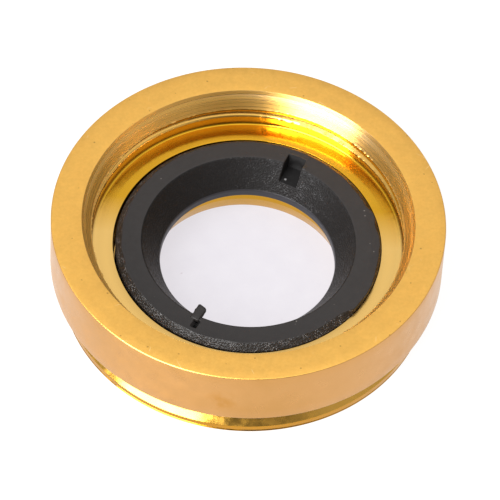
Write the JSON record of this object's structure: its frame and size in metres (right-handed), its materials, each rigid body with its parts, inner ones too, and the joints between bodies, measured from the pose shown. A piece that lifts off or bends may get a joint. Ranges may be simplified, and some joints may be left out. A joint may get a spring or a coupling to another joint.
{
  "type": "threaded adapter ring",
  "caption": "Flanged, gold anodised adapter ring with a threaded mouth, a grooved spigot and a black funnel-shaped baffle insert round a clear through bore.",
  "frame": {"origin": "centre of the flat foot of the spigot, on the optical axis", "axes": "+Z along the optical axis, out of the threaded mouth; -Y towards the side nearest the camera"},
  "size_m": [0.034, 0.034, 0.009],
  "materials": {
    "gold_anodised": "gold anodised, fine turned, satin outside",
    "black_moulding": "matte black moulded plastic"
  },
  "bodies": {
    "root": {"adapter_ring": "gold_anodised", "baffle_insert": "black_moulding"}
  },
  "joints": []
}
